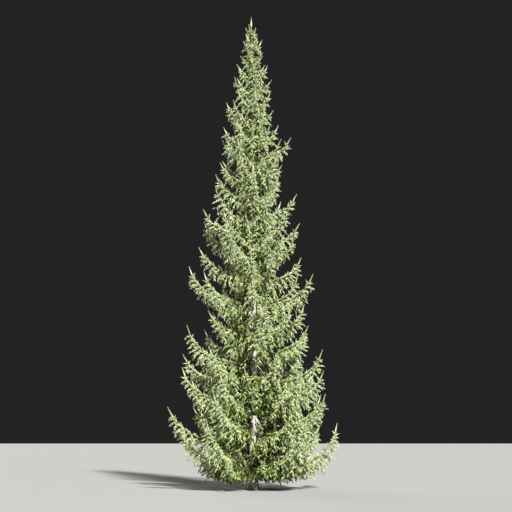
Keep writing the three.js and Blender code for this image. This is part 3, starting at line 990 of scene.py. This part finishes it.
print("masses by zone:", {zone: len(names) for zone, names in zone_masses.items()})

# %% [markdown]
# ## Twigs
#
# Young spruce twigs are yellow brown. They show from below and wherever the needles part. Each side twig is a
# thin three-sided tube that tapers towards its end and is closed at both ends. Longer twigs are thicker. They
# are too thin for a pattern to show, so one plain colour is enough.

# %% Make the twigs
TWIG_RADIUS = 0.0055
TWIG_END_RADIUS = 0.002
LEAST_STOUT = 0.5


def plain_material(name, colour, roughness, specular):
    material = bpy.data.materials.new(name)
    material.use_nodes = True
    shader = material.node_tree.nodes["Principled BSDF"]
    shader.inputs["Base Color"].default_value = (*colour, 1)
    shader.inputs["Roughness"].default_value = roughness
    shader.inputs["Specular IOR Level"].default_value = specular
    return material


twig_bark = plain_material("twig_bark", colour=(0.2, 0.15, 0.06), roughness=0.75, specular=0.3)
for zone, whorls in ZONES:
    own = [twig for twig in twigs if twig.bough.whorl in whorls]
    lines = np.array([twig.line for twig in own])
    starts = np.array([TWIG_RADIUS * (LEAST_STOUT + twig.length) for twig in own])
    taper = np.linspace(0, 1, TWIG_STEPS + 1)
    points, triangles = tubes(lines, mix(starts[:, None], TWIG_END_RADIUS, taper[None]))
    piece = mesh_piece(f"twigs_{zone}", points, triangles, twig_bark, zone)
    print(piece.name, "triangles:", len(triangles))

# %% [markdown]
# ## Dead twigs
#
# Low on the trunk, where no sun comes in, the oldest twigs have died. They stay on for years, bare and grey,
# and point down. They are the same three-sided tubes, set all round the trunk by chance, and one stout pale
# twig stands where the lowest gap opens.

# %% Bare dead twigs on the lower trunk
DEAD_TWIGS = 30
DEAD_HEIGHTS = (1.3, 4.8)
DEAD_PITCHES = (-50, -12)
DEAD_LENGTHS = (0.22, 0.6)
DEAD_RADIUS = 0.011
DEAD_TAPER = 0.75
DEAD_DROOP = 0.12
DEAD_POINTS = 5
DEAD_ROOT = 0.8
LONE_HEIGHT = 2.0
LONE_HEADING = -58
LONE_PITCH = -38
LONE_LENGTH = 0.46
LONE_GIRTH = 1.7

heights = np.append(rng.uniform(*DEAD_HEIGHTS, DEAD_TWIGS), LONE_HEIGHT)
headings = np.radians(np.append(rng.uniform(0, 360, DEAD_TWIGS), LONE_HEADING))
pitches = np.radians(np.append(rng.uniform(*DEAD_PITCHES, DEAD_TWIGS), LONE_PITCH))
lengths = np.append(rng.uniform(*DEAD_LENGTHS, DEAD_TWIGS), LONE_LENGTH)
girths = np.append(np.ones(DEAD_TWIGS), LONE_GIRTH)[:, None]
taper = np.linspace(0, 1, DEAD_POINTS)
roots = trunk_axis(heights) + aim(headings, 0 * headings) * trunk_radius(heights)[:, None] * DEAD_ROOT
lines = roots[:, None] + aim(headings, pitches)[:, None] * (lengths[:, None] * taper)[..., None]
lines[..., 2] -= DEAD_DROOP * lengths[:, None] * taper**2
radii = DEAD_RADIUS * girths * (LEAST_STOUT + lengths[:, None]) * (1 - DEAD_TAPER * taper)
points, triangles = tubes(lines, radii)
dead_bark = plain_material("dead_bark", colour=(0.56, 0.53, 0.46), roughness=0.85, specular=0.2)
mesh_piece("dead_twigs", points, triangles, dead_bark, "lowest")
print("dead twigs:", len(heights))

# %% [markdown]
# ## Needles
#
# A spruce needle is stiff, pointed and about two centimetres long. Needles stand all round the shoot on small
# pegs, in a spiral of about 137 degrees a step, and lean forward more and more towards the tip.
# Each needle is one slim triangle, with its broad side turned outwards and twisted a little. They are larger
# than life, so that a few dozen cover a shoot as a few hundred do. A closed spindle, pointed at both ends,
# stands for the dense rows of pegs on the stem. One pattern is made for each length of shoot and copied by
# arrays. Shoots deep in the crown get fewer and wider needles.

# %% Patterns of needles for shoots of five lengths
PATTERN_LENGTHS = (0.08, 0.12, 0.16, 0.21, 0.28)
NEEDLES_PER_METRE = 220
INNER_NEEDLES_PER_METRE = 70
END_NEEDLES = 6
INNER_WIDEN = 1.6
NEEDLE_LENGTH = 0.03
NEEDLE_LENGTHS = (0.85, 1.1)
NEEDLE_TIP_SHARE = 0.8
NEEDLE_WIDTH = 0.0115
NEEDLE_LEANS = (58, 42)
NEEDLE_LEAN_SPREAD = 9
NEEDLE_TWIST = 0.6
PEG_RADIUS = 0.0015
SPIRAL_SPREAD = 0.3
CORE_RADIUS = 0.018
CORE_WIDEST = 0.4


def core_faces(length):
    """A three-sided spindle along +Z, pointed at both ends, as triangles."""
    turns = math.tau * np.arange(3) / 3
    ring = np.stack([np.cos(turns), np.sin(turns), 0 * turns], axis=1) * CORE_RADIUS
    middle = ring + (0, 0, CORE_WIDEST * length)
    foot = np.zeros(3)
    tip = np.array([0.0, 0.0, length])
    faces = []
    for i in range(3):
        j = (i + 1) % 3
        faces += [(foot, middle[j], middle[i]), (middle[i], middle[j], tip)]
    return np.array(faces)


def needle_pattern(length, per_metre, widen):
    """Base, base and tip of every needle on a shoot along +Z, and the faces of its core."""
    count = round(per_metre * length) + END_NEEDLES
    shares = (np.arange(count) + 0.5) / count
    turn = np.radians(GOLDEN_ANGLE) * np.arange(count) + rng.uniform(-SPIRAL_SPREAD, SPIRAL_SPREAD, count)
    lean = mix(*NEEDLE_LEANS, shares**2)
    lean = np.radians(lean + rng.uniform(-NEEDLE_LEAN_SPREAD, NEEDLE_LEAN_SPREAD, count))
    out = np.stack([np.cos(turn), np.sin(turn), 0 * turn], axis=1)
    flat = np.stack([-np.sin(turn), np.cos(turn), 0 * turn], axis=1)
    up = np.array([0.0, 0.0, 1.0])
    run = out * np.sin(lean)[:, None] + up * np.cos(lean)[:, None]
    root = out * PEG_RADIUS + up * (shares * length)[:, None]
    reach = NEEDLE_LENGTH * rng.uniform(*NEEDLE_LENGTHS, count) * mix(1.0, NEEDLE_TIP_SHARE, shares)
    twist = rng.uniform(-NEEDLE_TWIST, NEEDLE_TWIST, count)[:, None]
    broad = flat * np.cos(twist) + np.cross(run, flat) * np.sin(twist)
    half = broad * NEEDLE_WIDTH / 2 * widen
    needles = np.stack([root - half, root + half, root + run * reach[:, None]], axis=1)
    return np.concatenate([needles, core_faces(length)])


outer_patterns = [needle_pattern(length, NEEDLES_PER_METRE, 1) for length in PATTERN_LENGTHS]
inner_patterns = [needle_pattern(length, INNER_NEEDLES_PER_METRE, INNER_WIDEN) for length in PATTERN_LENGTHS]
print("faces per pattern:", [len(pattern) for pattern in outer_patterns + inner_patterns])

# %% [markdown]
# ## Tints
#
# New needles at the ends of the boughs are pale green, and those deep in the crown are older, and painted
# darker still as painted shade, where the crown shades its own inside. The foot of the crown is painted a
# little darker than its top, as painted shade, and the top lighter, as painted light. A pattern over such a
# fine mesh would be lost in the export, so each shoot gets one of five plain tints by its youth and by its
# painted light and
# shade: how fresh it is on its twig, how far out it stands, how high, and some chance.

# %% Deal out the tints, with painted shade and painted light
# The two darkest tints, inner and old, are older needles painted darker still, as painted shade deep in the
# crown.
TINTS_AND_PAINTED_SHADES = (
    ("inner", (0.055, 0.08, 0.01)),
    ("old", (0.24, 0.29, 0.11)),
    ("green", (0.4, 0.465, 0.205)),
    ("light", (0.43, 0.49, 0.25)),
    ("fresh", (0.435, 0.49, 0.28)),
)
TINT_CHANCE = 0.17
FRESH_WEIGHT = 0.45
OUTER_LIGHT_WEIGHT = 0.65
# How deep inside the crown's edge the painted shade grows full, and the lit share of the edge.
FULL_SHADE_DEPTH = 1.5
SHADE_DEPTH_SHARE = 0.85
LEAST_SHADE_DEPTH = 0.01
LIT_EDGE_SHARE = 0.13
# Painted shade darkens the foot of the crown and painted light brightens its top.
HEIGHT_SHADE_AND_LIGHT = (-0.18, 0.22)
CANDLE_FRESH = 0.9
CANDLE_YOUTH = 0.72
YOUNGEST = 0.999

count = len(shoots["start"])
middles = shoots["start"] + shoots["aim"] * shoots["length"][:, None] / 2
radial = np.hypot(*(middles - trunk_axis(middles[:, 2]))[:, :2].T)
reach = crown_reach(np.minimum(middles[:, 2], TREE_HEIGHT))
# Painted shade: the deeper a shoot stands inside the crown's edge, the darker its tint; outer is its lit
# share.
shade_depth = np.minimum(FULL_SHADE_DEPTH, SHADE_DEPTH_SHARE * reach + LEAST_SHADE_DEPTH)
outer = np.clip((1 - (reach - radial) / shade_depth) / (1 - LIT_EDGE_SHARE), 0, 1)
youth_and_light = FRESH_WEIGHT * shoots["fresh"] + OUTER_LIGHT_WEIGHT * outer + rng.normal(0, TINT_CHANCE, count)
# Painted shade at the foot of the crown and painted light at its top.
youth_and_light += mix(*HEIGHT_SHADE_AND_LIGHT, np.sqrt(middles[:, 2] / TREE_HEIGHT))
youth_and_light = np.where(shoots["fresh"] > CANDLE_FRESH, np.maximum(youth_and_light, CANDLE_YOUTH), youth_and_light)
youth_and_light = np.clip(youth_and_light, 0, YOUNGEST)
tint = (youth_and_light * len(TINTS_AND_PAINTED_SHADES)).astype(int)
print("shoots by tint:", {name: int((tint == t).sum()) for t, (name, colour) in enumerate(TINTS_AND_PAINTED_SHADES)})

# %% [markdown]
# ## Needles on every shoot
#
# Each shoot takes the pattern whose length is nearest its own. The pattern is stretched to the shoot's length
# and turned along its direction, for thousands of shoots in one step, and the shoots of one tint and one zone
# are joined into one piece. A leaf texture on cards would be lighter, but needles that are meshes keep their
# outline from every side.

# %% Make the needles
SPARSE_TINTS = 2
NEEDLE_ROUGHNESS = 0.6
NEEDLE_SPECULAR = 0.1

kind = np.abs(shoots["length"][:, None] - np.array(PATTERN_LENGTHS)).argmin(axis=1)
across, over = square_frames(shoots["aim"])


def dress(chosen, pattern, length):
    """Needles of all the chosen shoots, as points in threes."""
    stretch = shoots["length"][chosen] / length
    corners = pattern.reshape(-1, 3)
    girth = shoots["girth"][chosen][:, None, None]
    points = corners[None, :, 0, None] * girth * across[chosen][:, None]
    points = points + corners[None, :, 1, None] * girth * over[chosen][:, None]
    rise = corners[None, :, 2] * stretch[:, None]
    points = points + rise[..., None] * shoots["aim"][chosen][:, None]
    return (points + shoots["start"][chosen][:, None]).reshape(-1, 3)


needle_triangles = 0
# The needles_inner and needles_old pieces carry the painted shade of the crown's inside.
for t, (name, colour) in enumerate(TINTS_AND_PAINTED_SHADES):
    material = plain_material(f"needles_{name}", colour, NEEDLE_ROUGHNESS, NEEDLE_SPECULAR)
    patterns = inner_patterns if t < SPARSE_TINTS else outer_patterns
    for zone, whorls in ZONES:
        here = (tint == t) & np.isin(shoots["whorl"], whorls)
        parts = []
        for k, pattern in enumerate(patterns):
            chosen = np.flatnonzero(here & (kind == k))
            parts.append(dress(chosen, pattern, PATTERN_LENGTHS[k]))
        points = np.concatenate(parts)
        triangles = np.arange(len(points)).reshape(-1, 3)
        piece = mesh_piece(f"needles_{name}_{zone}", points, triangles, material, zone)
        needle_triangles += len(triangles)
        print(piece.name, "triangles:", len(triangles))
print("needle triangles in all:", needle_triangles)

# %% [markdown]
# ## Floor and light
#
# The tree stands on a plain pale floor in front of a dark backdrop. The key light comes from the front, a
# little from the right and about 33 degrees up. A sun lamp with a small angle acts as a large soft box that
# is far away, so the top and the foot of a tall tree get the same light. A much softer lamp behind the tree
# and a faint even fill keep the shadows from going black. The world has two backgrounds, because the camera
# sees the dark backdrop while the tree is lit by the fill.

# %% Floor and backdrop
FLOOR_SIZE = 120
FILL_COLOUR = (1.0, 1.0, 0.6)
FILL_STRENGTH = 0.04
BACKDROP_GREY = (0.017, 0.017, 0.018)

bm = bmesh.new()
bmesh.ops.create_grid(bm, x_segments=1, y_segments=1, size=FLOOR_SIZE)
floor_paint = plain_material("floor_paint", colour=(0.36, 0.36, 0.35), roughness=0.9, specular=0.2)
floor = finish_piece(bm, "floor", floor_paint, smooth=False)

scene = bpy.context.scene
scene.view_settings.view_transform = "Standard"
world = bpy.data.worlds.new("studio")
world.use_nodes = True
tree = world.node_tree
fill = tree.nodes["Background"]
fill.inputs["Color"].default_value = (*FILL_COLOUR, 1)
fill.inputs["Strength"].default_value = FILL_STRENGTH
backdrop = add_node(tree, "Background", "Background", {"Color": (*BACKDROP_GREY, 1)}, {})
seen = add_node(tree, "LightPath", "Is Camera Ray", {}, {})
parts = {"Fac": seen, 1: fill.outputs["Background"], 2: backdrop}
choose = add_node(tree, "MixShader", "Shader", {}, parts)
tree.links.new(choose, tree.nodes["World Output"].inputs["Surface"])
scene.world = world
print("floor:", FLOOR_SIZE * 2, "metres wide")

# %% Lamps
KEY_STRENGTH = 8.9
KEY_SOFTNESS = 4
BACK_HEADING = 120
BACK_PITCH = 35
BACK_STRENGTH = 0.8
BACK_SOFTNESS = 40


def sun_lamp(name, heading, pitch, strength, softness):
    lamp = bpy.data.lights.new(name, "SUN")
    lamp.energy = strength
    lamp.angle = math.radians(softness)
    holder = bpy.data.objects.new(name, lamp)
    scene.collection.objects.link(holder)
    toward = Vector(aim(np.radians(heading), np.radians(pitch)))
    holder.rotation_euler = toward.to_track_quat("Z", "Y").to_euler()


sun_lamp("key", KEY_HEADING, KEY_PITCH, KEY_STRENGTH, KEY_SOFTNESS)
sun_lamp("back_fill", BACK_HEADING, BACK_PITCH, BACK_STRENGTH, BACK_SOFTNESS)
print("lamps:", [o.name for o in scene.objects if o.type == "LIGHT"])

# %% [markdown]
# ## Camera
#
# The camera stands forty metres off at eye height and looks up a little. From so far away a long lens is
# needed to fill the picture, and it keeps the trunk's sides nearly parallel.

# %% Place the camera
EYE_LENS = 100
EYE_FAR = 500
EYE_PITCH = 6.905
EYE_TURN = -0.12

eye = bpy.data.cameras.new("camera")
eye.lens = EYE_LENS
eye.clip_end = EYE_FAR
camera = bpy.data.objects.new("camera", eye)
camera.location = EYE_PLACE
camera.rotation_euler = (math.radians(90 + EYE_PITCH), 0, math.radians(EYE_TURN))
scene.collection.objects.link(camera)
scene.camera = camera
print("camera:", tuple(camera.location), "lens", eye.lens)
